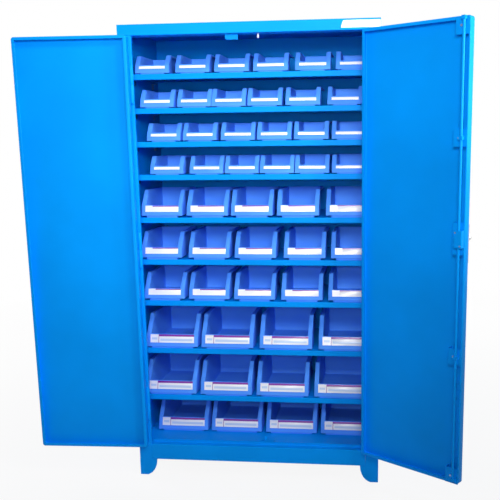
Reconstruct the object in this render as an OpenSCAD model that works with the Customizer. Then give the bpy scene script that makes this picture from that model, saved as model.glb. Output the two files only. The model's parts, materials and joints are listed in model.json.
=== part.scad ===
/* [Cabinet] */
// Width over the side panels
cabinet_w = 1000; // [960:10:1200]
// Depth from the front faces to the back
cabinet_d = 500; // [480:10:600]
// Height from the floor to the top sheet
cabinet_h = 1820; // [1650:10:2000]
// Thickness of the shell sheet
shell_t = 1.2; // [0.8:0.1:2]
// Height of the feet
foot_h = 70; // [60:1:90]
// Height of the front skirt
skirt_h = 67; // [55:1:80]
// Height of the header above the doors
header_h = 41; // [36:1:70]
// Depth of the header's underside
header_d = 60; // [52:1:80]
// Height of the lip behind the header's underside
header_lip = 18; // [10:1:30]
// Width of each front post
post_w = 53; // [45:1:70]
// Depth of each front post
post_d = 12; // [8:1:25]
// Width of the folded strip along the back edges
back_fold = 18; // [12:1:30]
// Width of the folded strip under the sides
base_fold = 36; // [30:1:50]
// Width of the return under the front skirt
skirt_return = 18; // [10:1:30]
// Outside radius of a folded edge
bend_r = 2.4; // [2.1:0.1:4]

/* [Sill] */
// Depth of the ledge under the closed doors
ledge_d = 31; // [30:1:40]
// Height of the sill behind the closed doors
sill_h = 12; // [8:1:14]

/* [Feet] */
// Width of a foot plate at the top
foot_top = 74; // [60:1:90]
// Width of a foot plate at the floor
foot_toe = 25; // [20:1:40]
// Width of the flange on the floor
foot_flange = 34; // [32:1:50]
// Thickness of the foot plates
foot_t = 3; // [2:0.5:5]
// Radius of the floor bolt holes
foot_hole_r = 4.5; // [3:0.5:6]
// Distance of the floor bolt holes from the outer faces
foot_hole_in = 22; // [18:1:24]
// Radius of the bolts that hold the feet
foot_bolt_r = 4; // [3:0.5:5]

/* [Shelves] */
// Height of a shelf's front flange
shelf_flange = 22; // [16:1:26]
// Height of a shelf's end flanges
shelf_end = 15; // [10:1:15]
// Width of the return behind the front flange
shelf_return = 12; // [8:1:20]
// Thickness of the shelf sheet
shelf_t = 1.2; // [0.8:0.1:1.6]
// Distance of the shelf fronts behind the front faces
shelf_setback = 95; // [85:1:110]
// Gap between a shelf's end and the side panel
shelf_gap = 2; // [1.6:0.1:4]
// Gap between a shelf's rear edge and the back panel
shelf_back_gap = 3; // [1:1:10]
// Spacing of the shelves over the small bins
small_pitch = 131.5; // [126:0.5:140]
// Spacing of the shelves over the medium bins
medium_pitch = 173; // [160:0.5:180]
// Spacing of the shelves over the large bins
large_pitch = 205; // [190:0.5:215]
// Clear height between the top sheet and the first shelf
top_bay = 175; // [150:0.5:200]
// Height from the floor deck to the lowest shelf
floor_bay = 184.5; // [175:0.5:200]
// Length of a shelf clip
clip_l = 30; // [20:1:50]
// Height of a shelf clip below the shelf's end flange
clip_h = 24; // [15:1:40]
// Reach of a shelf clip under the shelf
clip_reach = 14; // [8:1:25]
// Distance of the clips from the front and rear of a shelf
clip_in = 60; // [40:1:120]

/* [Doors] */
// Thickness of a door
door_t = 28; // [24:1:28]
// Thickness of the door sheet
door_sheet = 1.2; // [0.8:0.1:1.6]
// Gap between a door and the post, header and skirt
door_gap = 2; // [1.5:0.5:3]
// Gap between the two doors
middle_gap = 3; // [2:0.5:5]
// Width of the folded lip round a door's inside
door_lip = 12; // [10:1:25]
// Width of the lip along the lock edge
lock_lip = 5; // [4:1:14]
// Corner radius of a door
door_corner = 10; // [3:1:12]
// Opening of the left door as drawn
left_open = 178; // [90:1:180]
// Opening of the right door as drawn
right_open = 145; // [90:1:180]

/* [Hinges] */
// Radius of a hinge barrel
barrel_r = 8; // [7:0.5:9]
// Radius of a hinge pin
pin_r = 4.5; // [3.5:0.5:5]
// Running clearance of a pin in the door's barrel
pin_fit = 0.05; // [0.02:0.01:0.1]
// Length of one hinge barrel
barrel_l = 70; // [40:5:90]
// Gap between the two barrels of a hinge
barrel_gap = 0.4; // [0.2:0.1:1]
// Reach of a pin into the barrels, each way
pin_reach = 52; // [25:1:60]
// Width of a hinge leaf from the pin's axis
leaf_w = 25; // [18:1:30]
// Thickness of a hinge leaf
leaf_t = 2.5; // [2:0.5:3]
// Distance of the pin's axis outside the opening's edge
axis_out = 2; // [1:0.5:6]
// Gap between the barrels and the faces behind them
barrel_stand = 0.3; // [0.2:0.1:0.6]
// Height of the end hinges from the door's ends
hinge_in = 180; // [150:5:300]

/* [Lock] */
// Distance of the lock rods from the door's free edge
rod_in = 18; // [17.5:0.5:30]
// Radius of a lock rod
rod_r = 5; // [4:0.5:5]
// Clearance of a rod in its guides
rod_fit = 0.4; // [0.2:0.1:0.6]
// Gap between the base plates and the rods
rod_lift = 4.5; // [4.5:0.5:6]
// Height of the lock above the floor
lock_z = 1041; // [900:1:1100]
// Height of a lock rod's head above the cabinet's sill
rod_end_gap = 6; // [5:0.5:8]
// Height of the header above the upper rod's head
rod_top_gap = 6; // [4:0.5:8]
// Distance of the upper middle guide above the lock
guide_up = 342; // [250:1:400]
// Distance of the lower middle guide below the lock
guide_down = 422; // [250:1:500]
// Height of a guide plate
guide_h = 58; // [40:1:60]
// Width of a guide plate
guide_w = 54; // [45:1:60]
// Height of the keeper on a guide plate
keeper_h = 12; // [8:1:20]
// Thickness of the base plates
plate_t = 1.5; // [1:0.1:2]
// Width of the lock's base plate
base_w = 48; // [42:1:60]
// Height of the lock's base plate
base_h = 112; // [90:1:140]
// Height of the lock cover
cover_h = 60; // [56:1:70]
// Half width inside the lock cover
cover_half = 14.5; // [14.2:0.1:15.5]
// Radius of the cam
cam_r = 11.5; // [10.8:0.1:12]
// Gap between the lock's base plate and the cam
cam_lift = 2.5; // [2:0.5:2.5]
// Thickness of the cam
cam_t = 2.5; // [2:0.5:2.5]
// Distance of the cam's studs from its axis
stud_at = 8.5; // [8:0.1:8.7]
// Radius of a cam stud
stud_r = 2; // [1.5:0.1:2]
// Clearance of a stud in its slot
stud_fit = 0.5; // [0.4:0.1:0.6]
// Thickness of a rod's yoke
yoke_t = 3.5; // [3:0.5:4]
// Gap between the cam and the yokes
yoke_gap = 0.4; // [0.2:0.1:0.8]
// Radius of the handle's spindle
spindle_r = 5; // [4:0.5:6]
// Running clearance of the spindle in the rose
spindle_fit = 0.05; // [0.02:0.01:0.1]
// Length of the lever from the spindle
lever_l = 100; // [80:5:120]
// Thickness of the lever
lever_t = 9; // [7:1:12]
// Distance of the lever from the door's face
lever_out = 24; // [20:1:30]
// Height of the handle's rose
rose_h = 150; // [130:5:180]
// Width of the handle's rose
rose_w = 34; // [30:1:35]
// Thickness of the handle's rose
rose_t = 6; // [4:1:8]
// Radius of the key barrel
key_r = 8; // [6:0.5:9]
// Distance of the key barrel below the spindle
key_drop = 58; // [45:1:65]
// Radius of a screw's shank
screw_r = 1.5; // [1:0.25:2]
// Radius of the cover screws' heads
cover_head_r = 3; // [2.5:0.25:3.5]
// Radius of the guide screws' heads
guide_head_r = 4; // [3:0.25:5]

/* [Stops] */
// Width of the tab that stops the left door
tab_w = 50; // [40:1:70]
// Distance of the tab from the middle of the cabinet
tab_in = 38.5; // [25:0.5:60]
// Height of the tab
tab_h = 20; // [15:1:25]
// Radius of the white buffer
buffer_r = 4; // [3:0.5:4.5]
// Length of the white buffer
buffer_l = 16; // [12:1:18]
// Distance of the buffer from the lock rod
buffer_off = 18; // [14:0.5:25]
// Gap between the stops and the closed doors
stop_gap = 1; // [0.5:0.5:1.5]
// Width of the strike on the floor deck
strike_w = 62; // [50:1:80]
// Distance of the strike from the middle of the cabinet
strike_in = 4; // [2:0.5:8]

/* [Bins] */
// Wall of a bin
bin_wall = 2.4; // [1.8:0.1:3]
// Width of the flange round a bin's mouth
rim_w = 15; // [10:1:18]
// Thickness of the flange round a bin's mouth
rim_t = 3; // [2:0.5:4]
// Height of the turned-down edge under the flange
rim_drop = 7; // [4:0.5:10]
// Length of the cheeks behind the mouth
cheek_back = 12; // [5:1:25]
// Radius of the corner where a cheek meets the flange
cheek_r = 8; // [3:1:12]
// Distance of the foot inside a bin's walls
bin_foot_in = 2; // [1:1:10]
// Lean of a bin's front lip
lip_lean = 14; // [5:1:25]
// Lean of the sides' front edges
mouth_lean = 40; // [25:1:50]
// Lean of a bin's back wall
back_lean = 4; // [0:1:8]
// Width of a card rail on a bin's lip
rail_h = 2; // [1:0.5:3]
// Reach of a card rail out of a bin's lip
rail_d = 1.2; // [0.8:0.2:3]
// Gap between a bin and the shelf's front edge
bin_setback = 6; // [3:1:15]
// Extra setback of the bins on the floor deck
floor_setback = 56; // [20:1:70]

/* [Small bins] */
// Width of a small bin
small_w = 137; // [120:1:140]
// Depth of a small bin
small_d = 200; // [160:5:300]
// Height of a small bin
small_h = 74; // [60:1:90]
// Height of a small bin's lip
small_lip = 36; // [36:1:46]
// Height of a small bin's card
small_card = 10; // [6:1:10]
// Bottom of a small bin's card
small_card_z = 24; // [12:1:24]
// Height of a small bin's foot
small_foot = 4; // [2:0.5:6]

/* [Medium bins] */
// Width of a medium bin
medium_w = 170; // [150:1:180]
// Depth of a medium bin
medium_d = 250; // [200:5:320]
// Height of a medium bin
medium_h = 109; // [90:1:125]
// Height of a medium bin's lip
medium_lip = 49; // [49:1:70]
// Height of a medium bin's card
medium_card = 20; // [12:1:21]
// Bottom of a medium bin's card
medium_card_z = 26; // [15:1:27]
// Height of a medium bin's foot
medium_foot = 8; // [4:0.5:10]

/* [Large bins] */
// Width of a large bin
large_w = 220; // [200:1:230]
// Depth of a large bin
large_d = 320; // [260:5:330]
// Height of a large bin
large_h = 133; // [115:1:145]
// Height of a large bin's lip
large_lip = 58; // [55:1:80]
// Height of a large bin's card
large_card = 25; // [15:1:27]
// Bottom of a large bin's card
large_card_z = 26; // [15:1:28]
// Height of a large bin's foot
large_foot = 6; // [3:0.5:10]

/* [Hidden] */
$fn = 48;
touch = 0.01;
half_w = cabinet_w / 2;
front = -cabinet_d / 2;
back = cabinet_d / 2;
inner_half = half_w - shell_t;
panel_half = half_w - bend_r - shell_t / 2;
opening_half = half_w - post_w;
header_z = cabinet_h - header_h;
skirt_z = foot_h + skirt_h;
deck_front = front + ledge_d;
back_inner = back - 2 * shell_t;

// rows of bins from the top shelf down to the floor deck
small_rows = 4;
medium_rows = 3;
large_rows = 3;
row_count = small_rows + medium_rows + large_rows;
shelf_count = row_count - 1;
// gaps left of each bin, as percentages of the free width of its row
gap_share = [
    [16, 15, 11, 10, 16, 12],
    [24, 8, 1, 4, 8, 16],
    [36, 6, 10, 5, 6, 7],
    [40, 15, 4, 3, 2, 6],
    [17, 13, 9, 12, 19],
    [11, 20, 15, 22, 15],
    [14, 13, 14, 18, 16],
    [16, 14, 23, 23],
    [4, 16, 18, 21],
    [31, 14, 17, 15],
];

// door frame values, for doors in the closed position
door_top = header_z - door_gap;
door_bottom = skirt_z + door_gap;
door_edge = opening_half - door_gap;
door_back = front + door_t;
axis_x = opening_half + axis_out;
axis_y = front - barrel_r - barrel_stand;
hinge_z = [door_top - hinge_in, (door_top + door_bottom) / 2, door_bottom + hinge_in];

// lock values, in the closed right door
rod_x = middle_gap / 2 + rod_in;
rod_y = door_back + plate_t + rod_lift + rod_r;
rod_top = header_z - rod_top_gap;
rod_foot = skirt_z + sill_h + rod_end_gap;
rod_neck = cam_r + 4;
cam_y = door_back + plate_t + cam_lift;
yoke_y = cam_y + cam_t + yoke_gap + yoke_t / 2;
cover_gap = 1;
cover_y = rod_y + rod_r + cover_gap;
hole_gap = 1;
hole_r = rod_r + hole_gap;
strike_gap = 1;
strike_z = skirt_z + sill_h + strike_gap;
guide_plate_x = middle_gap / 2 + 1;

steel = [0.05, 0.5, 0.93];
bin_blue = [0.24, 0.4, 0.93];
zinc = [0.75, 0.77, 0.8];
chrome = [0.85, 0.86, 0.88];

// ---- folded sheet: an open path of points, its bends rounded, given a thickness to its left ----

function unit(v) = v / norm(v);
function left_of(v) = [-v.y, v.x];
function turn(a) = a > 180 ? a - 360 : a < -180 ? a + 360 : a;

// points of one rounded bend at b, between a and c
function bend(a, b, c, r, steps = 3) =
    let (
        u = unit(a - b),
        v = unit(c - b),
        half = acos(u * v) / 2,
        middle = b + unit(u + v) * r / sin(half),
        from = b + u * r / tan(half) - middle,
        to = b + v * r / tan(half) - middle,
        start = atan2(from.y, from.x),
        sweep = turn(atan2(to.y, to.x) - start)
    )
    [for (k = [0 : steps]) middle + r * [cos(start + sweep * k / steps), sin(start + sweep * k / steps)]];

function bent(path, r) = [
    path[0],
    for (i = [1 : len(path) - 2]) each bend(path[i - 1], path[i], path[i + 1], r),
    path[len(path) - 1],
];

// the point beside path[i], at a distance t to the left
function beside(path, i, t) =
    i == 0 ? path[0] + t * left_of(unit(path[1] - path[0])) :
    i == len(path) - 1 ? path[i] + t * left_of(unit(path[i] - path[i - 1])) :
    let (n = left_of(unit(path[i] - path[i - 1])), m = left_of(unit(path[i + 1] - path[i])))
    path[i] + t * (n + m) / (1 + n * m);

function strip(path, t) = concat(path, [for (i = [len(path) - 1 : -1 : 0]) beside(path, i, t)]);

module folded(path, t, r = bend_r) {
    polygon(strip(bent(path, r), t));
}

// extrudes a plan outline upwards between two heights
module upright(z0, z1) {
    translate([0, 0, z0]) linear_extrude(z1 - z0) children();
}

// extrudes an outline drawn in (y, z) along X between two places
module across(x0, x1) {
    translate([x0, 0, 0]) rotate([90, 0, 90]) linear_extrude(x1 - x0) children();
}

// extrudes an outline drawn in (x, z) along Y between two places
module along(y0, y1) {
    translate([0, y1, 0]) rotate([90, 0, 0]) linear_extrude(y1 - y0) children();
}

module block(low, high) {
    translate(low) cube(high - low);
}

module both_sides() {
    children();
    mirror([1, 0, 0]) children();
}

module four_corners() {
    both_sides() {
        children();
        mirror([0, 1, 0]) children();
    }
}

// ---- shell ----

module side_panel() {
    upright(foot_h, header_z)
        folded([
            [opening_half, front + post_d],
            [opening_half, front],
            [half_w, front],
            [half_w, back],
            [half_w - back_fold, back],
        ], shell_t);
    upright(header_z - touch, cabinet_h - shell_t)
        folded([
            [half_w, front + shell_t],
            [half_w, back],
            [half_w - back_fold, back],
        ], shell_t);
    difference() {
        block([inner_half - base_fold, front + bend_r, foot_h],
              [inner_half + touch, back_inner, foot_h + shell_t]);
        for (s = [-1, 1])
            translate([foot_bolt_x, s * foot_bolt_y, foot_h - 1])
                cylinder(r = foot_bolt_r, h = shell_t + 2);
    }
}

module left_side() {
    color(steel) mirror([1, 0, 0]) side_panel();
}

module right_side() {
    color(steel) side_panel();
}

module back_panel() {
    color(steel)
        across(-panel_half, panel_half)
            folded([
                [back_inner - back_fold, foot_h + shell_t],
                [back - shell_t, foot_h + shell_t],
                [back - shell_t, cabinet_h - shell_t],
            ], shell_t);
}

module top_panel() {
    color(steel)
        difference() {
            across(-half_w, half_w)
                folded([
                    [back, cabinet_h],
                    [front, cabinet_h],
                    [front, header_z],
                    [front + header_d, header_z],
                    [front + header_d, header_z + header_lip],
                ], shell_t);
            for (s = [-1, 1])
                translate([s * (inner_half + shell_t), 0, 0])
                    block([-shell_t, front + shell_t, header_z - 1],
                          [shell_t, back + 1, cabinet_h - shell_t]);
            translate([rod_x, rod_y, header_z - 1]) cylinder(r = hole_r, h = shell_t + 2);
        }
}

module front_skirt() {
    color(steel)
        across(-opening_half, opening_half)
            folded([
                [deck_front - shell_t, skirt_z + sill_h],
                [deck_front - shell_t, skirt_z],
                [front, skirt_z],
                [front, foot_h],
                [front + skirt_return, foot_h],
            ], shell_t);
}

module floor_deck() {
    color(steel)
        across(-inner_half, inner_half)
            folded([
                [deck_front + shelf_return, skirt_z - shelf_flange],
                [deck_front, skirt_z - shelf_flange],
                [deck_front, skirt_z],
                [back_inner, skirt_z],
            ], -shell_t);
}

// one face of a foot, its edge a quarter of an ellipse from the toe up to the body
module foot_plate() {
    linear_extrude(foot_t)
        polygon([
            [0, 0],
            for (a = [0 : 15 : 90])
                [foot_toe + (foot_top - foot_toe) * sin(a), foot_h * (1 - cos(a))],
            [0, foot_h],
        ]);
}

foot_bolt_x = half_w - base_fold / 2;
foot_bolt_in = 18;
foot_bolt_y = back - foot_top + foot_bolt_in;

module foot() {
    difference() {
        union() {
            translate([half_w, back, 0]) rotate([90, 0, 0]) mirror([1, 0, 0]) foot_plate();
            translate([half_w, back, 0]) rotate([90, 0, -90]) foot_plate();
            block([half_w - foot_flange, back - foot_flange, 0], [half_w, back, foot_t]);
            block([half_w - base_fold, back - foot_top, foot_h - foot_t], [half_w, back, foot_h]);
        }
        translate([half_w - foot_hole_in, back - foot_hole_in, -1])
            cylinder(r = foot_hole_r, h = foot_t + 2);
        translate([foot_bolt_x, foot_bolt_y, foot_h - foot_t - 1])
            cylinder(r = foot_bolt_r, h = foot_t + 2);
    }
}

module feet() {
    color(steel) four_corners() foot();
}

module foot_bolts() {
    head_h = 5;
    nut_h = 6;
    color(zinc)
        four_corners()
            translate([foot_bolt_x, foot_bolt_y, foot_h - foot_t]) {
                translate([0, 0, -head_h]) cylinder(r = foot_bolt_r * 1.75, h = head_h, $fn = 6);
                cylinder(r = foot_bolt_r, h = foot_t + shell_t + nut_h + 2);
                translate([0, 0, foot_t + shell_t])
                    cylinder(r = foot_bolt_r * 1.75, h = nut_h, $fn = 6);
            }
}

// ---- shelves ----

// the spacings share the height over the floor deck in proportion
bays = top_bay + (small_rows - 1) * small_pitch + medium_rows * medium_pitch
    + (large_rows - 1) * large_pitch + floor_bay;
spread = (cabinet_h - skirt_z) / bays;
// spacing below each shelf, from the first one down
function pitch_below(i) =
    i < small_rows - 1 ? small_pitch :
    i < small_rows + medium_rows - 1 ? medium_pitch : large_pitch;
function shelf_z(i) =
    i == 0 ? cabinet_h - spread * top_bay : shelf_z(i - 1) - spread * pitch_below(i - 1);
shelf_front = front + shelf_setback;
shelf_back = back_inner - shelf_back_gap;
shelf_half = inner_half - shelf_gap;

module shelf() {
    across(-shelf_half, shelf_half)
        folded([
            [shelf_front + shelf_return, -shelf_flange],
            [shelf_front, -shelf_flange],
            [shelf_front, 0],
            [shelf_back, 0],
            [shelf_back, -shelf_end],
        ], -shelf_t);
    both_sides()
        block([shelf_half - shelf_t, shelf_front + shelf_t, -shelf_end],
              [shelf_half, shelf_back - shelf_t, -shelf_t / 2]);
}

module shelves() {
    color(steel) for (i = [0 : shelf_count - 1]) translate([0, 0, shelf_z(i)]) shelf();
}

module shelf_clip() {
    along(0, clip_l)
        folded([
            [inner_half, -clip_h],
            [inner_half, 0],
            [inner_half - clip_reach, 0],
        ], shelf_t, shelf_t + 0.2);
}

module shelf_clips() {
    color(zinc)
        for (i = [0 : shelf_count - 1], y = [shelf_front + clip_in, shelf_back - clip_in - clip_l])
            translate([0, y, shelf_z(i) - shelf_end]) both_sides() shelf_clip();
}

// ---- hinges ----

// a barrel with a leaf on its inboard side, its axis at the origin
module knuckle(bore_r) {
    difference() {
        union() {
            cylinder(r = barrel_r, h = barrel_l);
            block([0, barrel_r - leaf_t, 0], [leaf_w, barrel_r, barrel_l]);
            block([axis_out + door_gap + 1, barrel_r - leaf_t, 0], [leaf_w, barrel_r + barrel_stand, barrel_l]);
        }
        translate([0, 0, -1]) cylinder(r = bore_r, h = barrel_l + 2);
    }
}

module post_knuckles() {
    color(steel)
        both_sides()
            for (z = hinge_z) translate([axis_x, axis_y, z - barrel_l]) knuckle(pin_r);
}

module hinge_pins() {
    color(zinc)
        both_sides()
            for (z = hinge_z) translate([axis_x, axis_y, z - pin_reach]) cylinder(r = pin_r, h = 2 * pin_reach);
}

module door_knuckles() {
    for (z = hinge_z)
        translate([axis_x, axis_y, z + barrel_gap])
            mirror([1, 0, 0]) knuckle(pin_r + pin_fit);
}

// swings children about the right-hand hinge axis by an opening angle
module opened(angle) {
    translate([axis_x, axis_y, 0]) rotate([0, 0, angle]) translate([-axis_x, -axis_y, 0]) children();
}

module on_left_door() {
    mirror([1, 0, 0]) opened(left_open) children();
}

module on_right_door() {
    opened(right_open) children();
}

// ---- doors, drawn closed on the right-hand side ----

// rectangle in (x, z) with rounded corners
module rounded_panel(x0, x1, z0, z1, r) {
    translate([x0 + r, z0]) square([x1 - x0 - 2 * r, z1 - z0]);
    translate([x0, z0 + r]) square([x1 - x0, z1 - z0 - 2 * r]);
    for (x = [x0 + r, x1 - r], z = [z0 + r, z1 - r]) translate([x, z]) circle(r);
}

module door_pan(free_lip) {
    x0 = middle_gap / 2;
    difference() {
        along(front, door_back) rounded_panel(x0, door_edge, door_bottom, door_top, door_corner);
        along(front + door_sheet, door_back - door_sheet)
            rounded_panel(x0 + door_sheet, door_edge - door_sheet, door_bottom + door_sheet,
                door_top - door_sheet, door_corner - door_sheet);
        block([x0 + free_lip, door_back - 2 * door_sheet, door_bottom + door_lip],
              [door_edge - door_lip, door_back + 1, door_top - door_lip]);
    }
}

module left_door_pan() {
    color(steel) on_left_door() door_pan(door_lip);
}

module left_door_knuckles() {
    color(steel) on_left_door() door_knuckles();
}

module right_door_pan() {
    color(steel)
        on_right_door()
            difference() {
                door_pan(lock_lip);
                translate([rod_x, front - 1, lock_z]) rotate([-90, 0, 0])
                    cylinder(r = spindle_r + 3, h = door_sheet + 2);
            }
}

module right_door_knuckles() {
    color(steel) on_right_door() door_knuckles();
}

// ---- lock, drawn in the closed right door ----

// a plate on the door's lip with one leg down to the door sheet, cut away beside the end lips
module bridge_plate(z0, z1, w) {
    leg_x = guide_plate_x + w;
    difference() {
        upright(z0, z1)
            folded([
                [guide_plate_x, door_back + plate_t],
                [leg_x, door_back + plate_t],
                [leg_x, front + door_sheet],
            ], -plate_t);
        for (z = [door_bottom, door_top - door_lip - 1])
            block([leg_x - 2 * bend_r, front, z], [leg_x + 1, door_back, z + door_lip + 1]);
    }
}

module lock_base() {
    color(steel)
        on_right_door()
            difference() {
                bridge_plate(lock_z - base_h / 2, lock_z + base_h / 2, base_w);
                translate([rod_x, door_back - 1, lock_z]) rotate([-90, 0, 0])
                    cylinder(r = spindle_r + 0.5, h = plate_t + 2);
                cover_screw_holes();
            }
}

// the two screws of the cover pass where neither rod's yoke comes
module cover_screw_places() {
    for (s = [-1, 1]) translate([rod_x + s * cover_screw_x, 0, lock_z + s * cover_screw_z]) children();
}

module cover_screw_holes() {
    cover_screw_places()
        translate([0, door_back - 1, 0]) rotate([-90, 0, 0])
            cylinder(r = screw_r, h = cover_y + plate_t - door_back + 2);
}

module lock_cover() {
    face = door_back + plate_t;
    color(steel)
        on_right_door()
            difference() {
                upright(lock_z - cover_h / 2, lock_z + cover_h / 2)
                    folded([
                        [rod_x - cover_half, face],
                        [rod_x - cover_half, cover_y],
                        [rod_x + cover_half, cover_y],
                        [rod_x + cover_half, face],
                    ], plate_t);
                cover_screw_holes();
            }
}

// a screw with its head towards the cabinet's inside, its seat at the origin
module screw(head_r, length) {
    rotate([-90, 0, 0]) {
        cylinder(r = head_r, h = 2.2);
        translate([0, 0, -length]) cylinder(r = screw_r, h = length + touch);
    }
}

cover_screw_x = (rod_r + cover_half) / 2;
cover_screw_in = 7;
cover_screw_z = cover_h / 2 - cover_screw_in;
guide_screw_off = 14;
guide_screw_x = rod_x + guide_screw_off;
end_gap = 1;
// middle heights of the keepers and low ends of their plates, from the top guide down
guide_z = [
    door_top - end_gap - keeper_h / 2,
    lock_z + guide_up,
    lock_z - guide_down,
    strike_z + plate_t + end_gap + keeper_h / 2,
];
guide_low = [
    door_top - end_gap - guide_h,
    guide_z[1] - guide_h / 2,
    guide_z[2] - guide_h / 2,
    door_bottom + end_gap,
];

module lock_screws() {
    face = door_back + plate_t;
    color(zinc)
        on_right_door() {
            cover_screw_places()
                translate([0, cover_y + plate_t, 0]) screw(cover_head_r, cover_y + plate_t - door_back);
            for (z = guide_low)
                translate([guide_screw_x, face, z + guide_h / 2]) screw(guide_head_r, plate_t);
        }
}

module rod_guide(i) {
    wall = 2;
    face = door_back + plate_t;
    difference() {
        union() {
            bridge_plate(guide_low[i], guide_low[i] + guide_h, guide_w);
            block([rod_x - rod_r - wall, face - touch, guide_z[i] - keeper_h / 2],
                  [rod_x + rod_r + wall, rod_y + rod_r + wall, guide_z[i] + keeper_h / 2]);
        }
        translate([rod_x, rod_y, guide_z[i] - keeper_h]) cylinder(r = rod_r + rod_fit, h = 2 * keeper_h);
        translate([guide_screw_x, door_back - 1, guide_low[i] + guide_h / 2]) rotate([-90, 0, 0])
            cylinder(r = screw_r, h = plate_t + 2);
    }
}

module rod_guides() {
    color(steel) on_right_door() for (i = [0 : len(guide_z) - 1]) rod_guide(i);
}

// a rod with a yoke whose slot carries one stud of the cam; the lower rod is this one turned over
module lock_rod(length) {
    slot_half = stud_r + stud_fit;
    slot_in = stud_at * cos(45) - slot_half;
    slot_out = stud_at + slot_half;
    slot_z = -stud_at * sin(45);
    slot_wall = 2.2;
    end_wall = 3;
    neck_h = 12;
    leg_in = slot_in - slot_wall;
    leg_out = slot_out + slot_wall;
    tip = 3;
    translate([0, rod_y, rod_neck]) cylinder(r = rod_r, h = length - tip);
    translate([0, rod_y, rod_neck + length - tip]) cylinder(r1 = rod_r, r2 = rod_r - 1.5, h = tip);
    difference() {
        along(yoke_y - yoke_t / 2, yoke_y + yoke_t / 2)
            polygon([
                [-leg_out, slot_z - slot_half - end_wall],
                [-leg_in, slot_z - slot_half - end_wall],
                [-leg_in, rod_neck],
                [rod_r - 1, rod_neck],
                [rod_r - 1, rod_neck + neck_h],
                [-leg_out + 6, rod_neck + neck_h],
                [-leg_out, rod_neck + 6],
            ]);
        block([-slot_out, yoke_y - yoke_t, slot_z - slot_half],
              [-slot_in, yoke_y + yoke_t, slot_z + slot_half]);
    }
}

module upper_rod() {
    color(steel) on_right_door() translate([rod_x, 0, lock_z]) lock_rod(rod_top - lock_z - rod_neck);
}

module lower_rod() {
    color(steel)
        on_right_door()
            translate([rod_x, 0, lock_z]) mirror([1, 0, 0]) mirror([0, 0, 1])
                lock_rod(lock_z - rod_foot - rod_neck);
}

module lock_cam() {
    color(zinc)
        on_right_door()
            translate([rod_x, cam_y, lock_z]) rotate([-90, 0, 0]) {
                cylinder(r = cam_r, h = cam_t);
                for (a = [135, 315]) rotate([0, 0, a]) translate([-stud_at, 0, 0])
                    cylinder(r = stud_r, h = cover_y - cam_y - plate_t - 0.5);
            }
}

module handle_rose() {
    low = lock_z - rose_h * 0.62;
    boss_r = spindle_r + 7;
    color(chrome)
        on_right_door()
            difference() {
                union() {
                    along(front - rose_t, front)
                        rounded_panel(rod_x - rose_w / 2, rod_x + rose_w / 2, low, low + rose_h, 12);
                    translate([rod_x, front - rose_t - 6, lock_z]) rotate([-90, 0, 0])
                        cylinder(r1 = boss_r - 2, r2 = boss_r, h = 6 + touch);
                }
                translate([rod_x, front - rose_t - 8, lock_z]) rotate([-90, 0, 0])
                    cylinder(r = spindle_r + spindle_fit, h = rose_t + 10);
                translate([rod_x, front - rose_t - 1, lock_z - key_drop]) rotate([-90, 0, 0])
                    cylinder(r = key_r + spindle_fit, h = rose_t + 2);
            }
}

module lever_handle() {
    hub_r = 11;
    tip_r = 7;
    color(chrome)
        on_right_door() {
            translate([rod_x, 0, lock_z])
                along(front - lever_out - lever_t, front - lever_out) {
                    circle(hub_r);
                    translate([lever_l, -4]) circle(tip_r);
                    polygon([[0, -hub_r], [lever_l, -4 - tip_r], [lever_l, -4 + tip_r], [0, hub_r]]);
                }
            translate([rod_x, front - lever_out - touch, lock_z]) rotate([-90, 0, 0]) {
                cylinder(r = spindle_r + 3, h = lever_out - rose_t - 6.5);
                cylinder(r = spindle_r, h = cam_y - front + lever_out + touch);
            }
        }
}

module key_barrel() {
    proud = 3;
    color(zinc)
        on_right_door()
            difference() {
                translate([rod_x, front - rose_t - proud, lock_z - key_drop]) rotate([-90, 0, 0])
                    cylinder(r = key_r, h = rose_t + proud - 0.3);
                block([rod_x - 1, front - rose_t - proud - 1, lock_z - key_drop - 4],
                      [rod_x + 1, front - rose_t, lock_z - key_drop + 4]);
            }
}

// ---- stops on the frame ----

module door_stop_tab() {
    face = door_back + stop_gap;
    corner = 8;
    color(steel) {
        along(face, face + plate_t) {
            difference() {
                translate([-tab_in - tab_w, header_z - tab_h]) square([tab_w, tab_h]);
                translate([-tab_in - tab_w, header_z - tab_h]) square(corner);
            }
            translate([-tab_in - tab_w + corner, header_z - tab_h + corner]) circle(corner);
        }
        block([-tab_in - tab_w, face + plate_t - touch, header_z - plate_t],
              [-tab_in, face + plate_t + 16, header_z]);
    }
}

module door_buffer() {
    color("white")
        translate([rod_x + buffer_off, door_back + plate_t + stop_gap + buffer_r, header_z - buffer_l]) {
            cylinder(r1 = buffer_r - 1, r2 = buffer_r, h = 2);
            translate([0, 0, 2 - touch]) cylinder(r = buffer_r, h = buffer_l - 2 + touch);
        }
}

module floor_strike() {
    rear = rod_y + 15;
    ear_x = rod_x + hole_r + 1;
    ear_w = 8;
    ear_h = 15;
    color(steel) {
        difference() {
            across(strike_in, strike_in + strike_w)
                folded([
                    [door_back + plate_t + stop_gap, strike_z + plate_t],
                    [rear, strike_z + plate_t],
                    [rear, skirt_z + plate_t],
                    [rear + 16, skirt_z + plate_t],
                ], -plate_t, plate_t + 0.3);
            translate([rod_x, rod_y, strike_z - 1]) cylinder(r = hole_r, h = plate_t + 2);
        }
        // ear beside the hole
        block([ear_x, rear - 3 * plate_t, strike_z + plate_t - touch],
              [ear_x + ear_w, rear - 2 * plate_t, strike_z + plate_t + ear_h]);
    }
}

// ---- bins: front lip's foot at the origin, widths to the right, depths to the back ----

// side outline of a bin in (y, z): lip, slanting mouth, rim and back
function mouth(d, h, lip, foot) = let (lip_y = (lip - foot) * tan(lip_lean)) [
    [0, foot],
    [lip_y, lip],
    [lip_y + (h - lip) * tan(mouth_lean), h],
    [d, h],
];

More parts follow.
